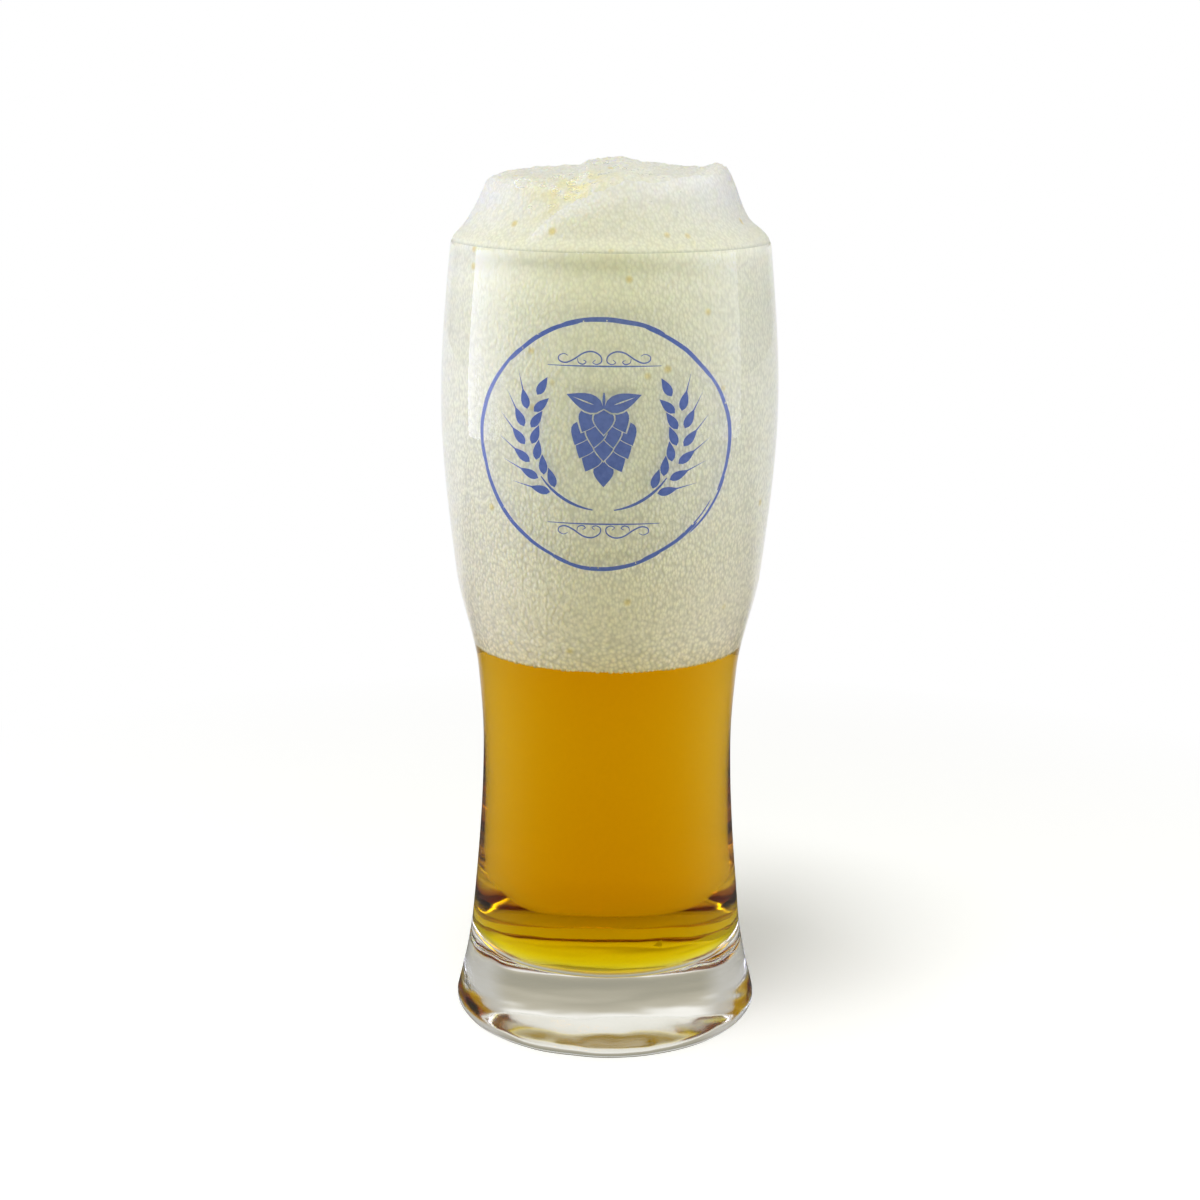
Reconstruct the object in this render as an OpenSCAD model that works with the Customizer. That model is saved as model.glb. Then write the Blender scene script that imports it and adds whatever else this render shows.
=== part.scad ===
// A waisted beer glass with a thick clear base, filled with beer and a tall head of foam.
// A printed badge sits on the front of the belly: a brushed ring round two scrolled rules,
// with two ears of barley and a hop cone between them.
// Millimetres, +Z up, front at -Y. The origin is the centre of the foot, where the glass stands.

/* [Glass outline] */
// Height from the standing surface to the top of the rim
glass_height = 195; // [185:1:230]
// Outside diameter at the rim
rim_d = 76.4; // [70:0.2:88]
// Height of the widest part of the belly
belly_height = 156; // [135:1:175]
// Outside diameter at the belly
belly_d = 81.6; // [77:0.2:92]
// Height where the flare has opened most of the way
flare_top_height = 115; // [106:1:128]
// Outside diameter at the top of the flare
flare_top_d = 75; // [70:0.2:76.8]
// Height where the flare starts to open
flare_foot_height = 90; // [82:1:100]
// Outside diameter at the foot of the flare
flare_foot_d = 64.4; // [62.4:0.2:69]
// Height of the narrowest part of the waist
waist_height = 71; // [50:1:78]
// Outside diameter at the waist
waist_d = 62; // [56:0.2:64]
// Height where the base has drawn in above its heel
ankle_height = 24; // [16:1:40]
// Outside diameter at the ankle
ankle_d = 68; // [65:0.2:72]
// Outside diameter at the heel, the widest part of the base
heel_d = 76; // [73:0.2:84]
// Radius of the rounded heel
heel_round = 3.5; // [2:0.1:6]
// How far the glass leans in as it leaves the heel, in degrees
heel_lean = 13; // [6:1:22]

/* [Wall and base] */
// Wall at the rim
rim_wall = 2; // [1.4:0.1:3]
// Wall where it meets the floor of the bowl
floor_wall = 3.2; // [2.2:0.1:5]
// Thickness of solid glass under the middle of the bowl
base_thickness = 16.5; // [10:0.5:28]
// How far the floor of the bowl rises from its middle to its edge
floor_dish = 1; // [0.5:0.1:3]
// Radius of the corner between floor and wall
floor_round = 6.5; // [3:0.5:9]
// Width of the flat ring that the glass stands on
foot_ring_w = 4; // [2:0.5:8]
// Depth of the hollow under the base
punt_depth = 1.5; // [1:0.5:6]

/* [Beer and foam] */
// Height of the line where beer meets foam
beer_level = 97.2; // [60:1:140]
// Height of the middle of the foam's crown above the rim
crown_height = 19.5; // [6:0.5:30]
// How much the crown's right shoulder is lifted, and its left one lowered
crown_lean = 0.4; // [0:0.1:3]
// Height of the soft fold that winds up the crown
fold_height = 2.8; // [0:0.1:4]

/* [Print] */
// Thickness of the fired ink
ink = 0.12; // [0.05:0.01:0.3]
// From the rim down to the middle of the badge
badge_drop = 43.2; // [38:0.2:52]
// How far the badge is turned to the left round the glass, in degrees
badge_turn = 2; // [0:0.5:10]
// Diameter of the brushed ring, along the middle of its stroke
ring_d = 57; // [52:0.5:62]
// Mean width of the brush stroke
ring_stroke = 0.95; // [0.5:0.05:1.6]
// From the ring in to each rule
rule_inset = 10.4; // [8:0.1:12]
// Length of a rule
rule_l = 25.6; // [20:0.2:28]
// Width of the lines of the rules and their scrolls
line_w = 0.34; // [0.24:0.02:0.5]
// Height of the scrolls on a rule
scroll_h = 3.4; // [2.6:0.1:4]
// Clear space between the ring and the bristles of the barley
ear_gap = 0.9; // [0.4:0.1:2]
// Height of the middle of the ears' circle above the middle of the badge
ear_rise = 2.5; // [1:0.1:3.5]
// Length of one barley kernel
kernel_l = 4.8; // [3.6:0.1:5.4]
// Width of one barley kernel
kernel_w = 2; // [1.4:0.1:2.3]
// Pairs of kernels along one ear
kernel_pairs = 6; // [4:1:6]
// Height of the hop cone
hop_h = 18; // [14:0.5:20]
// Width of the hop cone
hop_w = 13; // [9:0.5:15]

/* [Hidden] */
$fn = 96;

// Steps along a curve between two stations, and round a small arc
curve_steps = 6;
arc_steps = 8;

// Outline of the glass: a smooth monotone curve through named stations, each [height, radius].

lip_height = glass_height - rim_wall / 2;
heel_end = [
  heel_round * (1 + sin(heel_lean)),
  heel_d / 2 - heel_round * (1 - cos(heel_lean))
];
stations = [
  heel_end,
  [ankle_height, ankle_d / 2],
  [waist_height, waist_d / 2],
  [flare_foot_height, flare_foot_d / 2],
  [flare_top_height, flare_top_d / 2],
  [belly_height, belly_d / 2],
  [lip_height, rim_d / 2]
];
last_station = len(stations) - 1;

// Eases from 0 to 1 as t does
function smooth(t) = t * t * (3 - 2 * t);

// Slope of the chord from station i to the next
function chord(i) = (stations[i + 1][1] - stations[i][1]) / (stations[i + 1][0] - stations[i][0]);

// Slope of the curve where two chords meet: flat at a waist or a belly, else their harmonic mean
function blend_slope(a, b) = a * b <= 0 ? 0 : 2 * a * b / (a + b);

function slope(i) =
  i == 0 ? -tan(heel_lean)
  : i == last_station ? (3 * chord(i - 1) - slope(i - 1)) / 2
  : blend_slope(chord(i - 1), chord(i));

function span_at(z, i = 0) = i == last_station - 1 || z <= stations[i + 1][0] ? i : span_at(z, i + 1);

// Outside radius of the glass at height z
function outer_r(z) =
  let (
    i = span_at(z),
    length = stations[i + 1][0] - stations[i][0],
    t = (z - stations[i][0]) / length
  )
  stations[i][1] + (stations[i + 1][1] - stations[i][1]) * smooth(t)
    + slope(i) * length * t * (1 - t) * (1 - t)
    - slope(i + 1) * length * t * t * (1 - t);

// The wall thins evenly from the floor up to the rim.
floor_edge = base_thickness + floor_dish;
wall_foot = floor_edge + floor_round;
function wall(z) =
  floor_wall + (rim_wall - floor_wall) * (z - wall_foot) / (lip_height - wall_foot);
function inner_r(z) = outer_r(z) - wall(z);

// Heights from low to high in even steps, without the last one
function heights(low, high, steps) = [for (k = [0 : steps - 1]) low + (high - low) * k / steps];

function arc(centre, r, from, to) = [
  for (k = [0 : arc_steps])
    let (a = from + (to - from) * k / arc_steps)
      centre + r * [cos(a), sin(a)]
];

outer_heights = [
  for (i = [0 : last_station - 1])
    each heights(stations[i][0], stations[i + 1][0], curve_steps),
  lip_height
];
outer_curve = [for (z = outer_heights) [outer_r(z), z]];

// The floor of the bowl: a shallow dish, then a rounded corner up to the wall
corner_r = inner_r(wall_foot) - floor_round;
floor_curve = concat(
  [for (k = [0 : arc_steps - 1]) let (t = k / arc_steps) [corner_r * t, base_thickness + floor_dish * t * t]],
  arc([corner_r, wall_foot], floor_round, -90, 0)
);

// The inside wall has a point at the beer line, so that glass, beer and foam share their faces.
wall_steps = 14;
beer_wall = [for (z = heights(wall_foot, beer_level, wall_steps)) [inner_r(z), z]];
foam_wall = [for (z = heights(beer_level, lip_height, wall_steps)) [inner_r(z), z]];
lip_inside = [inner_r(lip_height), lip_height];

foot_r = heel_d / 2 - heel_round;
punt_r = foot_r - foot_ring_w;
heel_curve = arc([foot_r, heel_round], heel_round, -90, heel_lean);
lip_curve = arc([rim_d / 2 - rim_wall / 2, lip_height], rim_wall / 2, 0, 180);

// The hollow under the base: an even dome from the foot ring to the middle
punt_curve = [
  for (k = [0 : arc_steps])
    let (t = k / arc_steps)
      [punt_r * t, punt_depth * (1 - t * t)]
];

function without_first(points) = [for (k = [1 : len(points) - 1]) points[k]];
function without_last(points) = [for (k = [0 : len(points) - 2]) points[k]];
function reversed(points) = [for (k = [len(points) - 1 : -1 : 0]) points[k]];

module glass_body() {
  color([0.85, 0.9, 0.88, 0.45])
    rotate_extrude()
      polygon(concat(
        punt_curve,
        heel_curve,
        without_first(outer_curve),
        without_first(without_last(lip_curve)),
        [lip_inside],
        reversed(foam_wall),
        reversed(beer_wall),
        without_first(reversed(floor_curve))
      ));
}

module beer() {
  color([0.86, 0.55, 0.05])
    rotate_extrude()
      polygon(concat(
        floor_curve,
        without_first(beer_wall),
        [foam_wall[0], [0, beer_level]]
      ));
}

// Foam: it fills the glass above the beer. Its crown leans in steeply from the rim to a shoulder,
// and then rises slowly to the middle.
// Each share is [part of the radius at the rim, part of the crown's height].
crown_shares = [
  [1, 0], [0.985, 0.13], [0.965, 0.23], [0.945, 0.31], [0.92, 0.4], [0.895, 0.5], [0.87, 0.58],
  [0.845, 0.645], [0.815, 0.705], [0.785, 0.76], [0.75, 0.8], [0.7, 0.825], [0.62, 0.84],
  [0.5, 0.865], [0.37, 0.91], [0.25, 0.96], [0.12, 0.99]
];
crown_sides = 72;

// A collar of foam round the crown's foot covers the rounded lip of the glass down to its outer
// side. Each share is [part of the crown's radius, part of its height above the rim].
collar_shares = [[1.054, 0.025], [1.03, 0.075], [0.994, 0.14], [0.955, 0.2]];
// The crown stands this far inside the wall, and reaches this far down into the foam below it.
crown_gap = 0.4;
crown_root = 3;
crown_r = inner_r(lip_height) - crown_gap;

// The fold is a lip of foam. It starts at the front left of the rim and winds in to the middle,
// in degrees.
fold_start = 224;
fold_turn = 215;
// The lip rises over this angle, then sinks away again round the rest of the crown.
fold_rise = 20;

function fold_part(share, angle) =
  let (
    turned = angle - fold_start - fold_turn * (1 - share),
    round = turned - 360 * floor(turned / 360),
    level = round < fold_rise ? smooth(round / fold_rise) * (1 - fold_rise / 360) : 1 - round / 360
  )
  level * sin(180 * share * share);

function crown_point(share, angle) =
  let (r = crown_r * share[0], lean = crown_lean * share[1] * share[0] * cos(angle))
    [
      r * cos(angle),
      r * sin(angle),
      lip_height + crown_height * share[1] + lean + fold_height * fold_part(share[0], angle)
    ];

crown_rings = [
  for (share = crown_shares)
    [for (k = [0 : crown_sides - 1]) crown_point(share, 360 * k / crown_sides)]
];
root_ring = [for (p = crown_rings[0]) [p[0], p[1], lip_height - crown_root]];
ring_count = len(crown_shares) + 1;

// Triangles between ring a and the next one, walked round once
function band_faces(a) = [
  for (k = [0 : crown_sides - 1])
    let (
      next = (k + 1) % crown_sides,
      low = a * crown_sides,
      high = low + crown_sides
    )
    each [[low + k, high + k, high + next], [low + k, high + next, low + next]]
];

module foam_crown() {
  top = ring_count * crown_sides;
  last = top - crown_sides;
  polyhedron(
    points = concat(
      root_ring,
      [for (ring = crown_rings) each ring],
      [[0, 0, lip_height + crown_height]]
    ),
    faces = concat(
      [[for (k = [0 : crown_sides - 1]) k]],
      [for (a = [0 : ring_count - 2]) each band_faces(a)],
      [for (k = [0 : crown_sides - 1]) [last + k, top, last + (k + 1) % crown_sides]]
    )
  );
}

covered_lip = [for (k = [arc_steps - 1 : -1 : arc_steps / 4]) lip_curve[k]];
collar = [for (share = collar_shares) [crown_r * share[0], glass_height + crown_height * share[1]]];
collar_top = collar[len(collar) - 1][1];

module foam_head() {
  color([0.94, 0.93, 0.85]) {
    rotate_extrude()
      polygon(concat(
        [[0, beer_level]],
        foam_wall,
        [lip_inside],
        covered_lip,
        collar,
        [[0, collar_top]]
      ));
    foam_crown();
  }
}

// Print: each motif is drawn flat, as seen from the front, and cut out of a thin skin on the glass.

print_blue = [0.3, 0.4, 0.75];
badge_height = glass_height - badge_drop;
badge_reach = ring_d / 2 + 2 * ring_stroke;
print_top = badge_height + badge_reach;
print_foot = badge_height - badge_reach;
skin_heights = [
  print_foot,
  for (z = outer_heights) if (z > print_foot && z < print_top) z,
  print_top
];

// Radius of the glass's own face at height z, straight between two points of its curve
function face_r(z) =
  let (
    i = [for (k = [0 : len(outer_curve) - 2]) if (outer_curve[k][1] <= z && z <= outer_curve[k + 1][1]) k][0],
    low = outer_curve[i],
    high = outer_curve[i + 1]
  )
  low[0] + (high[0] - low[0]) * (z - low[1]) / (high[1] - low[1]);

module skin() {
  rotate_extrude()
    polygon(concat(
      [for (z = skin_heights) [face_r(z), z]],
      [for (z = reversed(skin_heights)) [face_r(z) + ink, z]]
    ));
}

module printed() {
  color(print_blue)
    intersection() {
      skin();
      rotate([0, 0, -badge_turn])
        translate([0, 0, badge_height])
          rotate([90, 0, 0])
            linear_extrude(height = belly_d)
              children();
    }
}

// A smooth path through chosen points, and a pen stroke along it that thins out at both ends
path_steps = 5;

function path_point(points, i, t) =
  let (
    p0 = points[max(i - 1, 0)],
    p1 = points[i],
    p2 = points[i + 1],
    p3 = points[min(i + 2, len(points) - 1)]
  )
  p1
    + (p2 - p0) * t / 2
    + (2 * p0 - 5 * p1 + 4 * p2 - p3) * t * t / 2
    + (3 * p1 - p0 - 3 * p2 + p3) * t * t * t / 2;

function smooth_path(points) = [
  for (i = [0 : len(points) - 2], k = [0 : path_steps - 1]) path_point(points, i, k / path_steps),
  points[len(points) - 1]
];

function stroke_side(path, width, side) = [
  for (i = [0 : len(path) - 1])
    let (
      ahead = path[min(i + 1, len(path) - 1)] - path[max(i - 1, 0)],
      thin = 0.35 + 0.65 * sin(180 * i / (len(path) - 1))
    )
    path[i] + side * width / 2 * thin * [-ahead[1], ahead[0]] / norm(ahead)
];

module stroke(path, width) {
  polygon(concat(stroke_side(path, width, 1), reversed(stroke_side(path, width, -1))));
}

// Brushed ring: overlapping strokes round a circle, each tapered at both ends. They swell and thin,
// and wander a little off the circle. Each row is [first angle, last angle, part of a stroke's
// width that it lies outside the circle, part of that width].
brush_shares = [
  [62, 110, 0.15, 1.15], [101, 139, -0.25, 1.05], [131, 192, 0.15, 0.9], [183, 254, -0.15, 0.95],
  [246, 297, 0.2, 1], [288, 319, -0.2, 0.85], [307, 331, -0.6, 0.32], [313, 343, 0.35, 0.55],
  [336, 401, -0.05, 0.85], [391, 431, -0.3, 1]
];
brush_steps = 18;

// Each row is [waves round the ring, part of the stroke, phase in degrees].
swell_shares = [[5, 0.14, 140], [17, 0.07, 250], [29, 0.05, 20]];
wander_shares = [[3, 0.2, 80], [7, 0.12, 10]];

function waves(shares, angle, i = 0) =
  i == len(shares) ? 0
  : shares[i][1] * sin(shares[i][0] * angle + shares[i][2]) + waves(shares, angle, i + 1);

function brush_side(row, side) = [
  for (k = [0 : brush_steps])
    let (
      t = k / brush_steps,
      angle = row[0] + (row[1] - row[0]) * t,
      middle = ring_d / 2 + ring_stroke * (row[2] + waves(wander_shares, angle)),
      taper = 0.2 + 0.8 * pow(sin(180 * t), 0.4),
      width = ring_stroke * row[3] * taper * (1 + waves(swell_shares, angle + 90 * side))
    )
    (middle + side * width / 2) * [cos(angle), sin(angle)]
];

module ring_print() {
  printed()
    for (row = brush_shares)
      polygon(concat(brush_side(row, 1), reversed(brush_side(row, -1))));
}

// Right half of a scrolled rule: a long scroll with a curl at each end, and a short curl below it.
// Shares are [part of half the rule's length, part of the scroll's height].
long_scroll_shares = [
  [0.15, 0.42], [0.2, 0.24], [0.13, 0.12], [0.05, 0.3], [0.07, 0.68], [0.2, 0.95], [0.36, 0.86],
  [0.54, 0.42], [0.68, 0.2], [0.79, 0.32], [0.8, 0.62], [0.71, 0.78], [0.64, 0.66]
];
short_scroll_shares = [[0.47, 0.5], [0.45, 0.22], [0.37, 0.12], [0.32, 0.28], [0.37, 0.4]];

function placed(shares) = [for (share = shares) [share[0] * rule_l / 2, share[1] * scroll_h]];

module scrolled_rule() {
  stroke([for (k = [-4 : 4]) [rule_l / 2 * k / 4, 0]], line_w);
  for (side = [0, 1])
    mirror([side, 0]) {
      stroke(smooth_path(placed(long_scroll_shares)), line_w);
      stroke(smooth_path(placed(short_scroll_shares)), line_w * 0.8);
    }
}

rule_offset = ring_d / 2 - rule_inset;

module upper_scroll_print() {
  printed()
    translate([0, rule_offset])
      scrolled_rule();
}

module lower_scroll_print() {
  printed()
    translate([0, -rule_offset])
      mirror([0, 1])
        scrolled_rule();
}

// A leaf shape with a round foot at the origin and its point along +Y. Kernels, hop scales and
// leaves are all made from it.
leaf_steps = 7;
function leaf_half(t) = sin(180 * pow(t, 0.72));
module leaf(l, w) {
  polygon(concat(
    [for (k = [0 : leaf_steps]) let (t = k / leaf_steps) [w / 2 * leaf_half(t), l * t]],
    [for (k = [leaf_steps - 1 : -1 : 1]) let (t = k / leaf_steps) [-w / 2 * leaf_half(t), l * t]]
  ));
}

// An ear bends along a circle. Its kernels splay out on both sides, and each outer one has a
// bristle, whose tip stays clear of the ring.
kernel_splay = 30;
kernel_offset = kernel_w * 0.4;
awn_w = line_w;
awn_from = kernel_l * 0.85;
awn_l = kernel_l * 1.05;
awn_along = (awn_from + awn_l) * cos(kernel_splay);
awn_out = (awn_from + awn_l) * sin(kernel_splay) + kernel_offset;
ear_limit = ring_d / 2 - ring_stroke - ear_gap - ear_rise;
ear_r = sqrt(pow(ear_limit, 2) - pow(awn_along, 2)) - awn_out;

// The stalk starts a little above the lower rule, and apart from the other ear's stalk.
stalk_gap = 5 * line_w;
stalk_apart = 8;
stalk_from = 270 + max(stalk_apart, acos(min(1, (rule_offset - stalk_gap + ear_rise) / ear_r)));
ear_from = 312;
ear_step = 2 * asin(kernel_l * 0.82 / (2 * ear_r));

// A bristle that stands out past a kernel
module awn() {
  translate([0, awn_from])
    polygon([[-awn_w / 2, 0], [awn_w / 2, 0], [0, awn_l]]);
}

// The right-hand ear. Its mirror image is the left-hand one.
module barley_ear() {
  stroke(arc([0, 0], ear_r, stalk_from, ear_from + ear_step), 2 * line_w);
  for (i = [0 : kernel_pairs - 1])
    rotate(ear_from + ear_step * i)
      translate([ear_r, 0])
        for (side = [-1, 1])
          translate([side * kernel_offset, 0])
            rotate(-side * kernel_splay) {
              leaf(kernel_l, kernel_w);
              if (side > 0) awn();
            }
  rotate(ear_from + ear_step * kernel_pairs)
    translate([ear_r, 0])
      leaf(kernel_l, kernel_w);
}

module right_barley_print() {
  printed()
    translate([0, ear_rise])
      barley_ear();
}

module left_barley_print() {
  printed()
    translate([0, ear_rise])
      mirror([1, 0])
        barley_ear();
}

// Hop cone: rows of pointed scales under two leaves. A scale lies over the ones in the rows below
// it, and over its outer neighbours. Each row is [number of scales, part of the cone's width].
hop_row_shares = [[3, 0.74], [4, 1], [3, 0.84], [2, 0.62], [1, 0.4]];
hop_rows = len(hop_row_shares);
scale_l = hop_h * 0.33;
scale_w = hop_w * 0.36;
scale_gap = line_w * 1.1;
scale_step = (hop_h - scale_l) / (hop_rows - 1);
scale_splay = 24;
hop_leaf_l = hop_h * 0.5;
hop_leaf_w = hop_leaf_l * 0.46;
hop_leaf_turn = 70;
hop_stalk_l = hop_h * 0.2;

// Which scale of a row comes at this turn, from the middle outwards
function middle_out(count, turn) = floor((count - 1) / 2) + (turn % 2 == 1 ? (turn + 1) / 2 : -turn / 2);

// Each scale is [row, place across the row from -1 to 1], the uppermost one first.
hop_scales = [
  for (row = [0 : hop_rows - 1])
    let (count = hop_row_shares[row][0])
      for (turn = [0 : count - 1])
        [row, count == 1 ? 0 : 2 * middle_out(count, turn) / (count - 1) - 1]
];

module hop_scale(place, grow) {
  spread = (hop_w * hop_row_shares[place[0]][1] - scale_w) / 2;
  translate([place[1] * spread, -place[0] * scale_step + grow])
    rotate(180 + place[1] * scale_splay)
      leaf(scale_l + 2 * grow, scale_w + 2 * grow);
}

module hop_cone() {
  for (k = [0 : len(hop_scales) - 1])
    difference() {
      hop_scale(hop_scales[k], 0);
      for (above = [0 : 1 : k - 1])
        hop_scale(hop_scales[above], scale_gap);
    }
}

// One leaf on each side, drooping over the cone
module hop_leaves(grow) {
  for (side = [0, 1])
    mirror([side, 0])
      rotate(-hop_leaf_turn)
        translate([0, -grow])
          leaf(hop_leaf_l + 2 * grow, hop_leaf_w + 2 * grow);
}

// The bare line along the middle of each leaf
module hop_veins() {
  for (side = [0, 1])
    mirror([side, 0])
      rotate(-hop_leaf_turn)
        translate([0, hop_leaf_l * 0.26])
          leaf(hop_leaf_l * 0.58, line_w);
}

module hop_print() {
  printed()
    translate([0, hop_h / 2 - scale_gap]) {
      difference() {
        hop_cone();
        hop_leaves(scale_gap);
      }
      difference() {
        hop_leaves(0);
        hop_veins();
      }
      stroke([for (k = [0 : 4]) [0, hop_stalk_l * k / 4]], 2 * line_w);
    }
}

glass_body();
beer();
foam_head();
ring_print();
upper_scroll_print();
lower_scroll_print();
left_barley_print();
right_barley_print();
hop_print();
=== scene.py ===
# %% [markdown]
# # A waisted beer glass, poured
#
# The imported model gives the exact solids: a thick glass, the beer, its foam and the printed badge.
# This lesson keeps them as a fixed frame and dresses each one. Everything is in metres, with the
# middle of the foot at the origin, the front towards -Y and +Z up.

# %% Load the fixed frame
import bmesh
import bpy
import math
import random
from mathutils import Matrix, Vector, noise


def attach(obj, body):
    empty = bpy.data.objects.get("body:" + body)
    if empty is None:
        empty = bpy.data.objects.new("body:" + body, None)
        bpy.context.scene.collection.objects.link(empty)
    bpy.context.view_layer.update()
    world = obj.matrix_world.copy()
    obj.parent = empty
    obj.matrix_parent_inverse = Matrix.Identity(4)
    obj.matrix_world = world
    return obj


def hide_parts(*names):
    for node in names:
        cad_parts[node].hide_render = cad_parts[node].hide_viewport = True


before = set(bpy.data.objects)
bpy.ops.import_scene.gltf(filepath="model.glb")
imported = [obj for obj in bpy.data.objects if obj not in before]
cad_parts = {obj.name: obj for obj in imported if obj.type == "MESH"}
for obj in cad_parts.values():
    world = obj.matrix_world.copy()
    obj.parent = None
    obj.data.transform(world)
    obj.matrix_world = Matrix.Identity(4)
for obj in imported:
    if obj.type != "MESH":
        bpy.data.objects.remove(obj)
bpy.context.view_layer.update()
print("CAD nodes:", ", ".join(sorted(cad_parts)))

# %% [markdown]
# The photograph was taken with a short telephoto lens, a little above the rim and looking down.
# The lens, distance and tilt come from how round the rim and the foot look. A camera is also where
# a scene starts: each later step is judged through it.

# %% Camera
camera_data = bpy.data.cameras.new("camera")
camera_data.lens = 67.29
camera_data.sensor_width = 36
camera = bpy.data.objects.new("camera", camera_data)
bpy.context.scene.collection.objects.link(camera)
tilt = Matrix.Rotation(math.radians(76.27), 4, "X")
roll = Matrix.Rotation(math.radians(0.39), 4, "Z")
camera.matrix_world = Matrix.Translation((-0.002, -0.540, 0.2382)) @ (tilt @ roll)
bpy.context.scene.camera = camera
print("camera at", tuple(round(value, 4) for value in camera.location))

# %% [markdown]
# The outline of the glass is one smooth curve through seven measured stations. A monotone cubic
# keeps it from bulging between them, as a blown wall does between the places that the mould sets.
# The same curve, less the wall, gives the bowl, so the beer and the foam take their shape from it.

# %% Outline of the glass
WAIST_HEIGHT, BELLY_HEIGHT, LIP = 0.071, 0.156, 0.194
HEEL_RADIUS, HEEL_ROUND = 0.038, 0.0035
HEEL_LEAN = 13  # degrees
heel_lean = math.radians(HEEL_LEAN)
heel_top = HEEL_ROUND * (1 + math.sin(heel_lean))
heel_end = (heel_top, HEEL_RADIUS - HEEL_ROUND * (1 - math.cos(heel_lean)))
# Each station is (height, radius).
stations = [
    heel_end, (0.024, 0.034), (WAIST_HEIGHT, 0.031), (0.090, 0.0322),
    (0.115, 0.0375), (BELLY_HEIGHT, 0.0408), (LIP, 0.0382),
]


def chord(i):
    """Slope of the straight line from station i to the next."""
    low, high = stations[i], stations[i + 1]
    return (high[1] - low[1]) / (high[0] - low[0])


slopes = [-math.tan(heel_lean)]
for i in range(1, len(stations) - 1):
    before, after = chord(i - 1), chord(i)
    slopes.append(0 if before * after <= 0 else 2 * before * after / (before + after))
slopes.append((3 * chord(len(stations) - 2) - slopes[-1]) / 2)


def smooth(t):
    """Eases from 0 to 1 as t does."""
    t = min(max(t, 0), 1)
    return t * t * (3 - 2 * t)


def outer_radius(height):
    """Outside radius of the glass at a height."""
    i = 0
    while i < len(stations) - 2 and height > stations[i + 1][0]:
        i += 1
    low, high = stations[i], stations[i + 1]
    length = high[0] - low[0]
    t = (height - low[0]) / length
    bend = slopes[i] * t * (1 - t) ** 2 - slopes[i + 1] * t * t * (1 - t)
    return low[1] + (high[1] - low[1]) * smooth(t) + bend * length


print("belly", round(2000 * outer_radius(BELLY_HEIGHT), 1), "mm wide")
print("waist", round(2000 * outer_radius(WAIST_HEIGHT), 1), "mm wide")

# %% [markdown]
# The bowl is the outline less a wall that thins on its way up. Below it the base is solid glass, up
# to a floor that dips to its middle and meets the wall in a round.

# %% Inside of the bowl
LOW_WALL, WALL_THINS = 0.0032, 0.0012
FLOOR, FLOOR_EDGE, FLOOR_ROUND = 0.0165, 0.0175, 0.0065
WALL_FOOT = FLOOR_EDGE + FLOOR_ROUND


def inner_radius(height):
    """Inside radius of the bowl. The wall thins evenly from its foot to the rim."""
    wall = LOW_WALL - WALL_THINS * (height - WALL_FOOT) / (LIP - WALL_FOOT)
    return outer_radius(height) - wall


def steps(low, high, count):
    """Values from low to high in even steps, with both ends."""
    return [low + (high - low) * k / count for k in range(count + 1)]


def arc(centre, radius, start, end, count):
    """Points (radius, height) round an arc, with the angles in degrees."""
    angles = [math.radians(angle) for angle in steps(start, end, count)]
    return [(centre[0] + radius * math.cos(a), centre[1] + radius * math.sin(a)) for a in angles]


print("mouth", round(2000 * inner_radius(LIP), 1), "mm wide inside")

# %% [markdown]
# A glass, its drink and its foam are all turned shapes. The quickest true way to make one is to
# draw half of its section and spin it once round the axis. The ends of a closed section lie on the
# axis, so merging doubles there closes the poles.

# %% Helpers that make pieces
TURNED_STEPS = 160


def finished(name, mesh, material, sharp=40):
    """Turns a bmesh into a piece that rides on the body, with its faces outwards and smooth."""
    bmesh.ops.remove_doubles(mesh, verts=mesh.verts, dist=1e-6)
    bmesh.ops.recalc_face_normals(mesh, faces=mesh.faces)
    data = bpy.data.meshes.new(name)
    mesh.to_mesh(data)
    mesh.free()
    data.shade_smooth()
    data.set_sharp_from_angle(angle=math.radians(sharp))
    data.materials.append(material)
    piece = bpy.data.objects.new(name, data)
    bpy.context.scene.collection.objects.link(piece)
    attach(piece, "root")
    print(name, len(data.polygons), "faces")
    return piece


def spun(section, count=TURNED_STEPS):
    """A bmesh made by spinning a section of (radius, height) points once round Z."""
    mesh = bmesh.new()
    corners = [mesh.verts.new((radius, 0, height)) for radius, height in section]
    edges = [mesh.edges.new(pair) for pair in zip(corners, corners[1:])]
    bmesh.ops.spin(
        mesh, geom=corners + edges, cent=(0, 0, 0), axis=(0, 0, 1),
        angle=2 * math.pi, steps=count, use_merge=True,
    )
    bmesh.ops.remove_doubles(mesh, verts=mesh.verts, dist=1e-6)
    return mesh


# %% [markdown]
# The base is pressed in a mould, so its faces are never quite even, and that is what breaks up the
# picture seen through it. Each point of the base is moved by a slow noise of a tenth of a
# millimetre or so, and a finer one. The beer's own floor takes the same moves, so the two still
# meet.

# %% Uneven base
PRESSED_TOP, PRESSED_FADE = 0.034, 0.010
SLOW_MOVE, FINE_MOVE = 0.00014, 0.00006


def drift(place, scale):
    """A smooth vector noise, made of the plain noise at three places far apart."""
    apart = [Vector((0, 0, 0)), Vector((31.4, 5.2, 0)), Vector((0, 47.2, 9.1))]
    return Vector([noise.noise(place * scale + offset) for offset in apart])


def press(mesh):
    """Gives a turned mesh its slight unevenness, full in the base and none above its top."""
    for point in mesh.verts:
        place = point.co.copy()
        depth = smooth((PRESSED_TOP - place.z) / PRESSED_FADE)
        point.co = place + depth * (SLOW_MOVE * drift(place, 75) + FINE_MOVE * drift(place, 190))
        point.co.z = max(point.co.z, 0)


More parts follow.
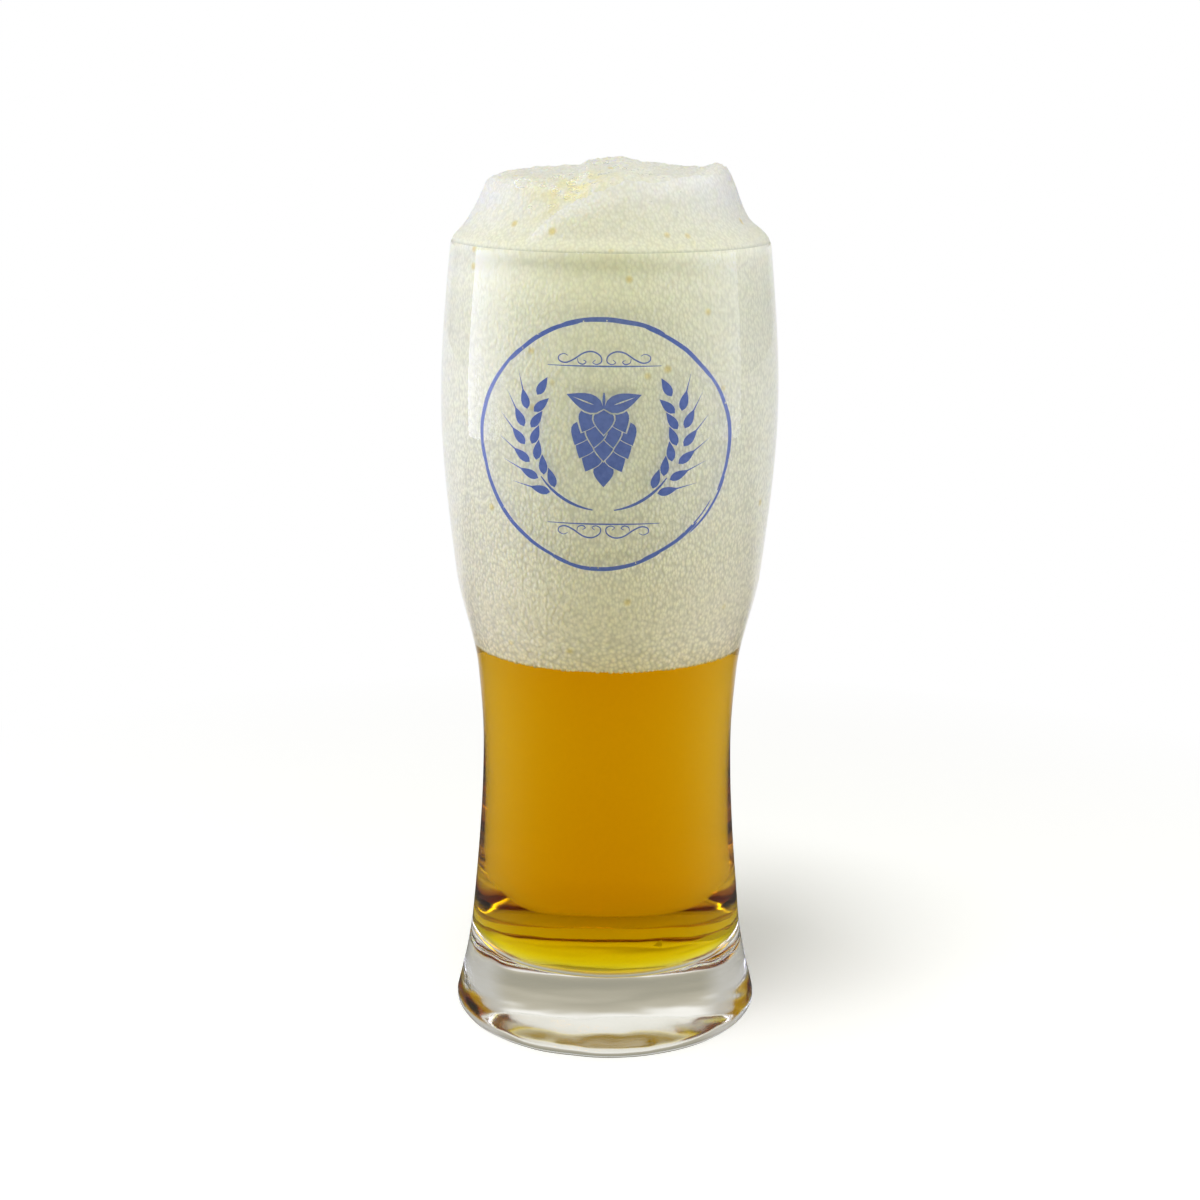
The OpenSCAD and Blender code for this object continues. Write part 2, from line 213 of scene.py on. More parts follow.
# %% [markdown]
# Materials are small node trees. These helpers start one and add the nodes that every finish here
# needs, so that each recipe below stays short. A value that comes from another node is given as
# that node and its socket.

# %% Helpers that make materials


def new_material(name):
    """A material with only an output, and its node tree."""
    material = bpy.data.materials.new(name)
    material.use_nodes = True
    tree = material.node_tree
    tree.nodes.clear()
    output = tree.nodes.new("ShaderNodeOutputMaterial")
    output.name = "output"
    return material, tree


def add_node(tree, kind, settings=None, **values):
    """Adds a node. Settings are its own options, and values fill its sockets by name."""
    made = tree.nodes.new("ShaderNode" + kind)
    for option, value in (settings or {}).items():
        setattr(made, option, value)
    for socket, value in values.items():
        made.inputs[socket.replace("_", " ")].default_value = value
    return made


def join(tree, source, socket, target, entry):
    """Links an output to an input. Sockets are given by name or number."""
    tree.links.new(source.outputs[socket], target.inputs[entry])


def position(tree, kind="Object"):
    """Two nodes: the place that is shaded, and its X, Y and Z."""
    place = add_node(tree, "TexCoord")
    axes = add_node(tree, "SeparateXYZ")
    join(tree, place, kind, axes, 0)
    return place, axes


def larger(tree, first, second):
    """The larger of two values."""
    made = add_node(tree, "Math", {"operation": "MAXIMUM"})
    join(tree, *first, made, 0)
    join(tree, *second, made, 1)
    return made


def blend(tree, amount, first, second):
    """A shader that is the first one where the amount is 0 and the second where it is 1."""
    made = add_node(tree, "MixShader")
    join(tree, *amount, made, 0)
    join(tree, first, 0, made, 1)
    join(tree, second, 0, made, 2)
    return made


# %% [markdown]
# Clear glass bends light by its index of 1.5. Light could only reach the foam through it by rare
# lucky paths, so for the rays that gather light the glass is simply transparent. Lamps, room and
# floor then light the foam evenly, as they do through a thin wall. The underside was pressed on a
# plate and isn't polished, so it blurs what it mirrors a little.

# %% Clear glass
UNDERSIDE_ROUGHNESS = 0.07

clear_glass, tree = new_material("clear_glass")
body = add_node(
    tree, "BsdfPrincipled", Base_Color=(1.0, 1.0, 1.0, 1), IOR=1.5,
    Transmission_Weight=1.0, Specular_Tint=(0.02, 0.02, 0.02, 1),
)
place, axes = position(tree)
pressed = add_node(
    tree, "MapRange", From_Min=0.0017, From_Max=0.0023, To_Min=UNDERSIDE_ROUGHNESS, To_Max=0.0,
)
join(tree, axes, "Z", pressed, "Value")
join(tree, pressed, 0, body, "Roughness")
passing = add_node(tree, "BsdfTransparent", Color=(0.97, 0.98, 0.97, 1))
rays = add_node(tree, "LightPath")
gathering = larger(tree, (rays, "Is Shadow Ray"), (rays, "Is Diffuse Ray"))
choice = blend(tree, (gathering, 0), body, passing)
join(tree, choice, 0, tree.nodes["output"], "Surface")
print("clear glass bends light by", body.inputs["IOR"].default_value)

# %% [markdown]
# The glass itself: a hollow under the foot, a rounded heel, the long outline, a round lip, and then
# the bowl down to its dished floor. The base is a thick lens, so this section has many points.

# %% The glass
HOLLOW_RADIUS, HOLLOW_DEPTH = 0.0305, 0.0015
LIP_MIDDLE, LIP_ROUND = 0.0372, 0.001

foot_hollow = [(HOLLOW_RADIUS * t, HOLLOW_DEPTH * (1 - t * t)) for t in steps(0, 1, 16)]
heel = arc((HEEL_RADIUS - HEEL_ROUND, HEEL_ROUND), HEEL_ROUND, -90, HEEL_LEAN, 12)
outside = [(outer_radius(height), height) for height in steps(heel_top, LIP, 110)]
lip = arc((LIP_MIDDLE, LIP), LIP_ROUND, 0, 180, 12)
inside = [(inner_radius(height), height) for height in steps(LIP, WALL_FOOT, 90)]
corner_radius = inner_radius(WALL_FOOT) - FLOOR_ROUND
corner = arc((corner_radius, WALL_FOOT), FLOOR_ROUND, 0, -90, 12)
dish = [(corner_radius * t, FLOOR + (FLOOR_EDGE - FLOOR) * t * t) for t in steps(1, 0, 12)]
glass_section = foot_hollow + heel + outside[1:] + lip[1:] + inside[1:] + corner[1:] + dish[1:]
glass_mesh = spun(glass_section)
press(glass_mesh)
glass = finished("glass", glass_mesh, clear_glass)
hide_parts("glass_body")

# %% [markdown]
# Beer takes its colour from depth: a clear liquid that absorbs blue at once, green slowly and red
# hardly at all. That is a volume, not a surface colour. Light reaches the underside of the foam
# through the beer, so the rays that gather light pass straight through its surface.

# %% Beer finish
beer_look, tree = new_material("beer")
liquid = add_node(
    tree, "BsdfPrincipled", Base_Color=(1.0, 1.0, 1.0, 1), Roughness=0.0, IOR=1.34,
    Transmission_Weight=1.0, Specular_Tint=(0.0, 0.0, 0.0, 1),
)
open_way = add_node(tree, "BsdfTransparent", Color=(1, 1, 1, 1))
rays = add_node(tree, "LightPath")
choice = blend(tree, (rays, "Is Diffuse Ray"), liquid, open_way)
join(tree, choice, 0, tree.nodes["output"], "Surface")
depth = add_node(tree, "VolumeAbsorption", Color=(0.968, 0.924, 0.0, 1), Density=320.0)
join(tree, depth, 0, tree.nodes["output"], "Volume")
print("beer bends light by", round(liquid.inputs["IOR"].default_value, 2))

# %% [markdown]
# The beer fills the bowl from its floor to the foam line. Its surface sits a hair inside the glass
# wall, so that a ray passes straight from glass into beer with no film of air between them.

# %% Beer
BEER_LEVEL = 0.0972
WET = 0.00006

beer_dish = [(radius, height - WET) for radius, height in reversed(dish)]
beer_corner = arc((corner_radius, WALL_FOOT), FLOOR_ROUND + WET, -90, 0, 12)
beer_wall = [(inner_radius(height) + WET, height) for height in steps(WALL_FOOT, BEER_LEVEL, 60)]
beer_mesh = spun(beer_dish + beer_corner[1:] + beer_wall[1:] + [(0, BEER_LEVEL)])
press(beer_mesh)
beer = finished("beer_drink", beer_mesh, beer_look)
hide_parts("beer")

# %% [markdown]
# Foam is a mass of tiny bubbles. Close to the beer they are coarse, and the foam there is wet and
# yellower. Higher up it is dry, fine and nearly white. A colour ramp over the height gives that.

# %% Foam colour
FOAM_TOP = 0.206
# The Mix node has a set of sockets for each kind of value, so they are found by number.
NUMBER_A, NUMBER_B, COLOUR_A, COLOUR_B, COLOUR_OUT = 2, 3, 6, 7, 2


def ramp(tree, stops):
    """A colour ramp through stops of (position, colour), the lowest first."""
    made = add_node(tree, "ValToRGB")
    elements = made.color_ramp.elements
    for element, (at, colour) in zip(elements, (stops[0], stops[-1])):
        element.position = at
        element.color = (*colour, 1)
    for at, colour in stops[1:-1]:
        elements.new(at).color = (*colour, 1)
    return made


foam_look, tree = new_material("foam")
place, axes = position(tree)
# How dry the foam is: 0 at the beer line and 1 near the top of the crown
dryness = add_node(tree, "MapRange", From_Min=BEER_LEVEL, From_Max=FOAM_TOP)
join(tree, axes, "Z", dryness, "Value")
tint = ramp(tree, [
    (0.0, (0.85, 0.76, 0.50)), (0.05, (0.87, 0.81, 0.60)), (0.4, (0.87, 0.86, 0.70)),
    (0.88, (0.86, 0.86, 0.71)), (1.0, (0.87, 0.87, 0.82)),
])
join(tree, dryness, 0, tint, 0)
print("foam is coloured over", round(1000 * (FOAM_TOP - BEER_LEVEL)), "mm of height")

# %% [markdown]
# Cell patterns give the bubbles: a coarse one near the beer, which turns into a fine one that is
# stretched upwards, as rising foam is. A third pattern is sparse. A cell of it shows only where its
# own number is high, as the small yellow spot that a large bubble makes.

# %% Foam bubbles
coarse = add_node(tree, "TexVoronoi", Scale=950.0)
join(tree, place, "Object", coarse, "Vector")
tall = add_node(tree, "VectorMath", {"operation": "MULTIPLY"})
tall.inputs[1].default_value = (1, 1, 0.6)
join(tree, place, "Object", tall, 0)
fine = add_node(tree, "TexVoronoi", Scale=1500.0)
join(tree, tall, 0, fine, "Vector")
size_mix = add_node(tree, "MapRange", From_Min=0.02, From_Max=0.22)
join(tree, dryness, 0, size_mix, "Value")
bubbles = add_node(tree, "Mix", {"data_type": "FLOAT"})
join(tree, size_mix, 0, bubbles, 0)
join(tree, coarse, "Distance", bubbles, NUMBER_A)
join(tree, fine, "Distance", bubbles, NUMBER_B)

large = add_node(tree, "TexVoronoi", Scale=230.0)
join(tree, place, "Object", large, "Vector")
cell_number = add_node(tree, "SeparateColor")
join(tree, large, "Color", cell_number, 0)
chosen = add_node(tree, "Math", {"operation": "GREATER_THAN"})
chosen.inputs[1].default_value = 0.9
join(tree, cell_number, 0, chosen, 0)
spot = add_node(tree, "MapRange", From_Min=0.26, From_Max=0.1)
join(tree, large, "Distance", spot, "Value")
spots = add_node(tree, "Math", {"operation": "MULTIPLY"})
join(tree, chosen, 0, spots, 0)
join(tree, spot, 0, spots, 1)
spot_strength = add_node(tree, "Math", {"operation": "MULTIPLY"})
spot_strength.inputs[1].default_value = 0.75
join(tree, spots, 0, spot_strength, 0)
spotted = add_node(tree, "Mix", {"data_type": "RGBA"})
spotted.inputs[COLOUR_B].default_value = (0.76, 0.64, 0.24, 1)
join(tree, spot_strength, 0, spotted, 0)
join(tree, tint, 0, spotted, COLOUR_A)
print("foam has", len([node for node in tree.nodes if node.type == "TEX_VORONOI"]), "cell patterns")

# %% [markdown]
# The modelled crown will carry its own tint, which holds painted light: a painted highlight on the
# fold's lip and, in the hollow behind it, the yellow of wet foam with painted shade. That tint and
# the painted shade round each small bubble multiply the colour. The same bubbles push the surface
# in and out, more in the wet foam than in the dry. Some of the light sinks into the foam and comes
# out a little way off, which softens it.

# %% Foam finish


def multiplied(tree, first, second):
    """One colour times another."""
    made = add_node(tree, "Mix", {"data_type": "RGBA", "blend_type": "MULTIPLY"})
    made.inputs[0].default_value = 1.0
    join(tree, *first, made, COLOUR_A)
    join(tree, *second, made, COLOUR_B)
    return made


# The tint holds the foam's own colour and also painted light and shade: under the rim, on the crown
# and on the beads.
painted = add_node(tree, "Attribute")
painted.attribute_name = "tint_and_painted_light"
tinted = multiplied(tree, (spotted, COLOUR_OUT), (painted, "Color"))
darkest = add_node(tree, "MapRange", From_Min=0.0, From_Max=1.0, To_Min=0.74, To_Max=0.92)
join(tree, dryness, 0, darkest, "Value")
shade = add_node(tree, "MapRange", From_Min=0.2, From_Max=0.75, To_Min=1.05)
join(tree, bubbles, 0, shade, "Value")
join(tree, darkest, 0, shade, "To Max")
shaded = multiplied(tree, (tinted, COLOUR_OUT), (shade, 0))

relief = add_node(tree, "Bump", {"invert": True}, Distance=0.0004)
roundness = add_node(tree, "MapRange", From_Min=0.0, From_Max=0.5, To_Min=1.0, To_Max=0.45)
join(tree, dryness, 0, roundness, "Value")
join(tree, roundness, 0, relief, "Strength")
join(tree, bubbles, 0, relief, "Height")
froth = add_node(
    tree, "BsdfPrincipled", Roughness=0.45, IOR=1.33, Specular_IOR_Level=0.5,
    Subsurface_Weight=0.5, Subsurface_Scale=0.004,
)
froth.inputs["Subsurface Radius"].default_value = (1.0, 0.8, 0.4)
join(tree, shaded, COLOUR_OUT, froth, "Base Color")
join(tree, relief, 0, froth, "Normal")
join(tree, froth, 0, tree.nodes["output"], "Surface")
print("foam finish has", len(tree.nodes), "nodes")

# %% [markdown]
# The crown is poured foam. It laps over the rim, leans in to a shoulder and rises to the middle. A
# lip of foam winds up it where the last of the pour folded over. The section gives the shoulder.
# The fold, the hollow behind it and the small unevenness are then pushed into the spun mesh point
# by point, as a sculptor would do it, because no turned section can hold them.

# %% Section and fold of the crown
CROWN_RADIUS = inner_radius(LIP) - 0.0004
CROWN_HEIGHT = 0.0195
# Each share is (part of the crown's radius, part of its height above the middle of the lip).
crown_shares = [
    (1.058, 0.037), (1.057, 0.056), (1.045, 0.09), (1.028, 0.13), (1.008, 0.165), (0.988, 0.2),
    (0.968, 0.25), (0.95, 0.3), (0.93, 0.365), (0.9, 0.455), (0.87, 0.56), (0.845, 0.65),
    (0.815, 0.745), (0.785, 0.795), (0.75, 0.82), (0.7, 0.84), (0.62, 0.855), (0.5, 0.875),
    (0.37, 0.89), (0.25, 0.91), (0.12, 0.925), (0, 0.93),
]
# The fold's lip runs up the front to the shoulder: (angle in degrees, share of the crown's radius).
lip_line = [
    (236, 1.03), (242, 0.98), (250, 0.92), (256, 0.89), (262, 0.87),
    (269, 0.85), (276, 0.84), (290, 0.83), (313, 0.82), (345, 0.80),
]
FOLD_HEIGHT, FOLD_EDGE = 0.0024, 0.012


def crown_height(share):
    """Height of the plain crown at a part of its radius."""
    part = 1
    for (out, low), (further_in, high) in zip(crown_shares, crown_shares[1:]):
        if share >= further_in:
            part = low + (high - low) * (out - share) / (out - further_in)
            break
    return LIP + CROWN_HEIGHT * part


def past_lip(share, angle):
    """How far outside the fold's lip a place is, in shares of the radius, and the fold's strength."""
    angle %= 360
    for (start, low), (end, high) in zip(lip_line, lip_line[1:]):
        if start <= angle <= end:
            lip_share = low + (high - low) * (angle - start) / (end - start)
            strength = smooth((angle - 236) / 6) * (1 - smooth((angle - 305) / 40))
            return share - lip_share, strength
    return -1, 0


print("crown", round(1000 * (crown_height(0) - LIP), 1), "mm above the lip at its middle")

# %% [markdown]
# The rest of the crown's form is a sum of soft steps and bumps. The right half of the top stands
# higher, its shoulder higher again, and the fold has a hollow behind it. Fine waves lie on the
# right, where the foam slid as it settled, and three noises make the whole a little uneven.

# %% Shape of the crown
STEP_HEIGHT, SHOULDER_HEIGHT, PEAK_HEIGHT = 0.0012, 0.0012, 0.0004
DENT_DEPTH = 0.0028
WAVE_HEIGHT, WAVE_LENGTH = 0.00018, 0.0017
RIGHT_TUCK = 0.032
# Each noise is (height, waves to a metre, place of its slice).
UNEVENNESS = [(0.0008, 140, 0.3), (0.0004, 420, 1.7), (0.0002, 1100, 3.1)]


def dent(x, y, at, wide, deep):
    """A soft round hollow: 1 in its middle and 0 well outside."""
    return math.exp(-((x - at[0]) / wide) ** 2 - ((y - at[1]) / deep) ** 2)


def ripple(share, angle):
    """Fine waves here and there on the right, where the foam slid: -1 to 1, and 0 elsewhere."""
    right = math.cos(math.radians(angle))
    back = math.sin(math.radians(angle))
    place = Vector((right, back, 0)) * CROWN_RADIUS * share
    bent = noise.noise(place * 130 + Vector((0, 0, 5.3)))
    wavy = math.sin(2 * math.pi * (place.length / WAVE_LENGTH + bent))
    patchy = smooth(0.5 + 1.6 * noise.noise(place * 110 + Vector((0, 0, 8.1))))
    in_front = smooth((0.8 - back) / 0.7)
    return wavy * (patchy * in_front) * smooth((right + 0.1) / 0.4) * smooth((0.86 - share) / 0.1)


def crown_point(share, angle):
    """A point of the crown's surface, in metres."""
    past, strength = past_lip(share, angle)
    outside_lip = strength * smooth(past / FOLD_EDGE + 1)
    level = outside_lip * (1 - smooth(past / 0.22)) * smooth((1.03 - share) / 0.08)
    a = math.radians(angle)
    # The right flank is steeper than the left one.
    tuck = smooth((1 - share) / 0.06) * smooth((share - 0.7) / 0.12)
    radius = CROWN_RADIUS * share * (1 - RIGHT_TUCK * max(math.cos(a), 0) * tuck)
    x, y = radius * math.cos(a), radius * math.sin(a)
    free = smooth((1 - share) / 0.12)
    on_top = smooth((0.88 - share) / 0.1)
    on_shoulder = smooth((0.93 - share) / 0.08) * smooth((x - 0.021) / 0.004)
    step = on_top * smooth((x + 0.0080) / 0.003) * (1 - 0.4 * smooth((x - 0.003) / 0.005))
    hollow = free * (1 - outside_lip) * dent(x, y, (-0.0095, -0.0255), 0.0075, 0.0050)
    z = crown_height(share) + FOLD_HEIGHT * level + STEP_HEIGHT * step
    z += SHOULDER_HEIGHT * on_shoulder
    z += PEAK_HEIGHT * dent(x, y, (0.0012, 0.002), 0.0030, 0.0060)
    z -= DENT_DEPTH * hollow
    for height, waves, slice_at in UNEVENNESS:
        z += height * free * noise.noise(Vector((x, y, slice_at)) * waves)
    z += WAVE_HEIGHT * ripple(share, angle)
    return Vector((x, y, z))


crown_middle = crown_point(0, 0).z - LIP
print("crown", round(1000 * crown_middle, 1), "mm above the lip there, once it is uneven")

# %% [markdown]
# Each point of the crown also gets a tint, which the foam's finish multiplies its colour by, and
# which holds painted light and shade. Yellower foam lies in patches in the hollow: partly wet foam,
# partly painted shade in the recess. The fold's lip gets a painted highlight, the waves faint
# painted light and shade, and the lowest edge, where the foam meets the glass outside, a thin
# painted shadow line.

# %% Tint and painted light of the crown


def crown_tint(share, angle, x, y):
    """Colour by which the foam of the crown is multiplied here, painted light and shade included."""
    past, strength = past_lip(share, angle)
    outside_lip = strength * smooth(past / FOLD_EDGE + 1)
    patchy = smooth(0.62 + 1.5 * noise.noise(Vector((x, y, 2.2)) * 400))
    # Yellower patches in the hollow: partly wet foam, partly painted shade in the recess.
    wet_and_shaded = (1 - outside_lip) * patchy * dent(x, y, (-0.0080, -0.0245), 0.0085, 0.0055)
    # The fold's lip is painted lighter and bluer: a painted highlight.
    painted_lip_highlight = outside_lip * (1 - smooth((past - 0.02) / 0.05))
    # A thin painted shadow line where the foam's edge meets the glass outside.
    painted_edge_shadow = smooth((share - 1.051) / 0.003)
    tint = Vector((1, 1, 1)).lerp(Vector((0.99, 0.93, 0.60)), wet_and_shaded)
    # Faint painted light and shade on the waves: lighter on their crests, darker in their troughs.
    tint = tint * (1 + 0.05 * ripple(share, angle))
    tint = tint.lerp(Vector((1.07, 1.07, 1.14)), painted_lip_highlight)
    return tint.lerp(Vector((0.72, 0.74, 0.70)), painted_edge_shadow)


# %% [markdown]
# The foam fills the glass from the beer to the rim, covers the rounded lip and then becomes the
# crown, all in one spun mesh. Its wall also sits a hair inside the glass, and its foot dips just
# under the beer's top. Just under the rim its colour is painted brighter: painted light that makes
# up for the shadow that the foam lapping over the rim casts on the wall there.

# %% Foam body
foam_foot = BEER_LEVEL - 0.0002
foam_wall = [(inner_radius(height) + WET, height) for height in steps(foam_foot, LIP, 40)]
covered_lip = arc((LIP_MIDDLE, LIP), LIP_ROUND - WET, 157, 45, 6)
crown_radii = [CROWN_RADIUS * share for share in steps(crown_shares[0][0], 0, 150)]
crown_section = [(radius, crown_height(radius / CROWN_RADIUS)) for radius in crown_radii]
foam_bottom = [(inner_radius(foam_foot) * t, foam_foot) for t in (0, 0.5)]
foam_mesh = spun(foam_bottom + foam_wall + covered_lip + crown_section, 400)
tint_and_painted_light = foam_mesh.verts.layers.float_color.new("tint_and_painted_light")
for point in foam_mesh.verts:
    # Painted light: the wall's top centimetre under the rim is made up to 14% brighter.
    painted_light_under_rim = 1 + 0.14 * smooth((point.co.z - 0.181) / 0.010)
    point[tint_and_painted_light] = (painted_light_under_rim, painted_light_under_rim, painted_light_under_rim, 1)
    share = math.hypot(point.co.x, point.co.y) / CROWN_RADIUS
    if point.co.z > crown_height(share) - 1e-5:
        angle = math.degrees(math.atan2(point.co.y, point.co.x))
        point.co = crown_point(share, angle)
        point[tint_and_painted_light] = (*crown_tint(share, angle, point.co.x, point.co.y), 1)
foam = finished("foam_crown", foam_mesh, foam_look, sharp=70)
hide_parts("foam_head")

# %% [markdown]
# A row of larger bubbles hangs from the foam into the beer, pressed against the glass, so the beer
# line is a string of small scallops. They are foam too, and darker and oranger below: partly where
# the beer wets them, partly painted shade under each bead. The sizes vary, from a fixed random
# start.

# %% Beads on the beer line
# About the bowl's radius at the beer line, by which the beads share out the full turn
LINE_RADIUS = 0.031

beads = bmesh.new()
chance = random.Random(4)
turn = 0.0
while turn < 2 * math.pi - 0.03:
    size = chance.uniform(0.0004, 0.0007)
    turn += size / LINE_RADIUS
    from_axis = inner_radius(BEER_LEVEL) - size * 0.85
    spot_at = (from_axis * math.cos(turn), from_axis * math.sin(turn), BEER_LEVEL - size * 0.4)
    bmesh.ops.create_uvsphere(
        beads, u_segments=10, v_segments=6, radius=size, matrix=Matrix.Translation(spot_at),
    )
    turn += size / LINE_RADIUS
bead_tint_and_shade = beads.verts.layers.float_color.new("tint_and_painted_light")
for point in beads.verts:
    # Painted shade and the beer's wetting both darken each bead's lowest part.
    wet_and_shaded_below = smooth((BEER_LEVEL - 0.0003 - point.co.z) / 0.0005)
    point[bead_tint_and_shade] = (1 - 0.35 * wet_and_shaded_below, 0.97 - 0.45 * wet_and_shaded_below, 0.85 - 0.6 * wet_and_shaded_below, 1)
bead_row = finished("beer_line_beads", beads, foam_look)

# %% [markdown]
# A few bubbles stand open on the crown, most of them in the hollow behind the fold. Each is a low
# dome of thin film: nearly clear in its middle and white towards its edge. That white is a painted
# reflection: a plain diffuse skin stands in for what the film mirrors at a slant.

# %% Bubble film
film, tree = new_material("bubble_film")
facing = add_node(tree, "LayerWeight", Blend=0.5)
# White towards the edge: a painted reflection, a diffuse skin in place of the film's mirroring.
painted_edge_reflection = add_node(tree, "MapRange", From_Min=0.3, From_Max=0.95, To_Min=0.04, To_Max=0.75)
join(tree, facing, "Facing", painted_edge_reflection, "Value")
clear = add_node(tree, "BsdfTransparent", Color=(0.98, 0.98, 0.97, 1))
skin = add_node(tree, "BsdfPrincipled", Base_Color=(0.97, 0.97, 0.95, 1), Specular_IOR_Level=0.0)
thin = blend(tree, (painted_edge_reflection, 0), clear, skin)
join(tree, thin, 0, tree.nodes["output"], "Surface")
print("bubble film is at most", round(painted_edge_reflection.inputs["To Max"].default_value, 2), "white")

# %% [markdown]
# The bubbles that the eye picks out are placed one by one after the photograph. Smaller ones are
# scattered round them by chance, from the same fixed start.

# %% Bubbles on the crown
MM = 0.001
# No bubble stands further out than this share of the crown's radius.
BUBBLES_END = 0.95
# Each row is (x, y, radius) of a bubble in millimetres.
open_bubbles = [
    (-20.2, -20.2, 2.1), (-15.6, -23.4, 0.8), (-18.4, -25.4, 0.6), (-12.6, -24.6, 1.1),
    (-10.0, -26.6, 1.0), (-9.2, -21.6, 1.2), (-13.4, -27.4, 0.8), (-7.4, -25.2, 0.8),
    (-6.6, -20.4, 0.9), (-11.6, -18.6, 0.8), (1.0, -15.8, 0.8), (3.0, -16.2, 0.6),
    (-1.2, -8.0, 0.8),
]
# Each row is (how many, x and its spread, y and its spread, smallest and largest radius).
scattered = [
    (30, (-9.5, 3.6), (-22.5, 2.8), (0.3, 0.6)),
    (50, (2, 12), (-20, 6), (0.15, 0.3)),
]
for amount, across, along, sizes in scattered:
    for _ in range(amount):
        open_bubbles.append((chance.gauss(*across), chance.gauss(*along), chance.uniform(*sizes)))
bubble_mesh = bmesh.new()
for x, y, size in open_bubbles:
    share = math.hypot(x, y) * MM / CROWN_RADIUS
    if share < BUBBLES_END:
        middle = crown_point(share, math.degrees(math.atan2(y, x)))
        low_dome = Matrix.Translation(middle) @ Matrix.Diagonal((1, 1, 0.6, 1))
        rounds = 20 if size > 0.6 else 10
        bmesh.ops.create_uvsphere(
            bubble_mesh, u_segments=rounds, v_segments=rounds // 2 + 1,
            radius=size * MM, matrix=low_dome,
        )
open_film = finished("crown_bubbles", bubble_mesh, film)

# %% [markdown]
# The badge is fired ink: thin, dense and slightly rough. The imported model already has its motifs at
# their true thickness, so they stay, and only their finish is made here. A fine noise makes the
# blue a little uneven, as screen-printed enamel is. The ring was drawn with a dry brush, which
# left small bare patches, so its ink is clear where a second noise is high.

# %% Ink


def ink(name, missing):
    """Blue enamel. Missing is the level of a patchy noise above which the brush left no paint."""
    material, tree = new_material(name)
    place = add_node(tree, "TexCoord")
    grain = add_node(tree, "TexNoise", Scale=900.0, Detail=3.0)
    join(tree, place, "Object", grain, "Vector")
    blue = ramp(tree, [(0.3, (0.085, 0.140, 0.47)), (0.7, (0.125, 0.190, 0.56))])
    join(tree, grain, 0, blue, 0)
    enamel = add_node(tree, "BsdfPrincipled", Roughness=0.35, IOR=1.5)
    enamel_relief = add_node(tree, "Bump", Strength=0.2, Distance=0.00005)
    join(tree, grain, 0, enamel_relief, "Height")
    join(tree, blue, 0, enamel, "Base Color")
    join(tree, enamel_relief, 0, enamel, "Normal")
    patches = add_node(tree, "TexNoise", Scale=900.0, Detail=2.0)
    join(tree, place, "Object", patches, "Vector")
    bare = add_node(tree, "MapRange", From_Min=missing, From_Max=missing + 0.04)
    join(tree, patches, 0, bare, "Value")
    rays = add_node(tree, "LightPath")
    see_through = larger(tree, (rays, "Is Shadow Ray"), (bare, 0))
    nothing = add_node(tree, "BsdfTransparent", Color=(1, 1, 1, 1))
    choice = blend(tree, (see_through, 0), enamel, nothing)
    join(tree, choice, 0, tree.nodes["output"], "Surface")
    return material


solid_ink = ink("blue_ink", 1.0)
brushed_ink = ink("brushed_blue_ink", 0.65)
for name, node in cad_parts.items():
    if name.endswith("_print"):
        node.data.materials.clear()
        node.data.materials.append(brushed_ink if name == "ring_print" else solid_ink)
        print("inked", name)

# %% [markdown]
# The glass stands on a plain white sheet. For the rays that form the picture, the sheet glows a
# little and takes light too, so that it is white wherever the light reaches it and grey only in
# the soft shadow. Well away from the glass it is plain white, so its edge can't be seen.

# %% Floor as the picture shows it
paper, tree = new_material("paper")
lit = add_node(tree, "BsdfDiffuse", Color=(0.99, 0.99, 1.0, 1))
glow = add_node(tree, "Emission", Color=(1, 1, 1, 1), Strength=0.265)
lit_and_glowing = add_node(tree, "AddShader")
join(tree, lit, 0, lit_and_glowing, 0)
join(tree, glow, 0, lit_and_glowing, 1)
place, axes = position(tree)
reach = add_node(tree, "VectorMath", {"operation": "LENGTH"})
join(tree, place, "Object", reach, 0)
far = add_node(tree, "MapRange", From_Min=0.12, From_Max=0.32)
join(tree, reach, "Value", far, "Value")
white = add_node(tree, "Emission", Color=(1, 1, 1, 1), Strength=1.0)
sheet_look = blend(tree, (far, 0), lit_and_glowing, white)
print("sheet glows by", round(glow.inputs["Strength"].default_value, 3))

# %% [markdown]
# What the glass bends of the sheet carries a painted shadow under the foot, beige-grey near the
# middle and paler outwards. A mirrored ray sees only a small share of the sheet, except far behind
# the glass, or a pale veil would lie over the dark beer. For the rays that only gather light, the
# sheet is plain pale grey.

# %% Floor as the glass shows it
MIRROR_SHARE = 0.08

# Painted shadow of the glass and its beer on the sheet, as the bent rays see it.
painted_foot_shadow = ramp(tree, [
    (0.02, (0.40, 0.38, 0.30)), (0.042, (0.80, 0.79, 0.74)), (0.09, (0.95, 0.95, 0.95)),
])
join(tree, reach, "Value", painted_foot_shadow, 0)
mirrored = add_node(
    tree, "MapRange", From_Min=0.2, From_Max=0.32, To_Min=MIRROR_SHARE, To_Max=0.95,
)
join(tree, axes, "Y", mirrored, "Value")
rays = add_node(tree, "LightPath")
dimmed = add_node(tree, "MapRange", To_Max=1.0)
join(tree, mirrored, 0, dimmed, "To Min")
join(tree, rays, "Is Transmission Ray", dimmed, "Value")
bright = add_node(tree, "Emission")
join(tree, painted_foot_shadow, 0, bright, "Color")
join(tree, dimmed, 0, bright, "Strength")
plain = add_node(tree, "BsdfDiffuse", Color=(0.8, 0.8, 0.8, 1))
for_glass = blend(tree, (rays, "Is Glossy Ray"), plain, bright)
for_picture = blend(tree, (rays, "Is Camera Ray"), for_glass, sheet_look)
join(tree, for_picture, 0, tree.nodes["output"], "Surface")

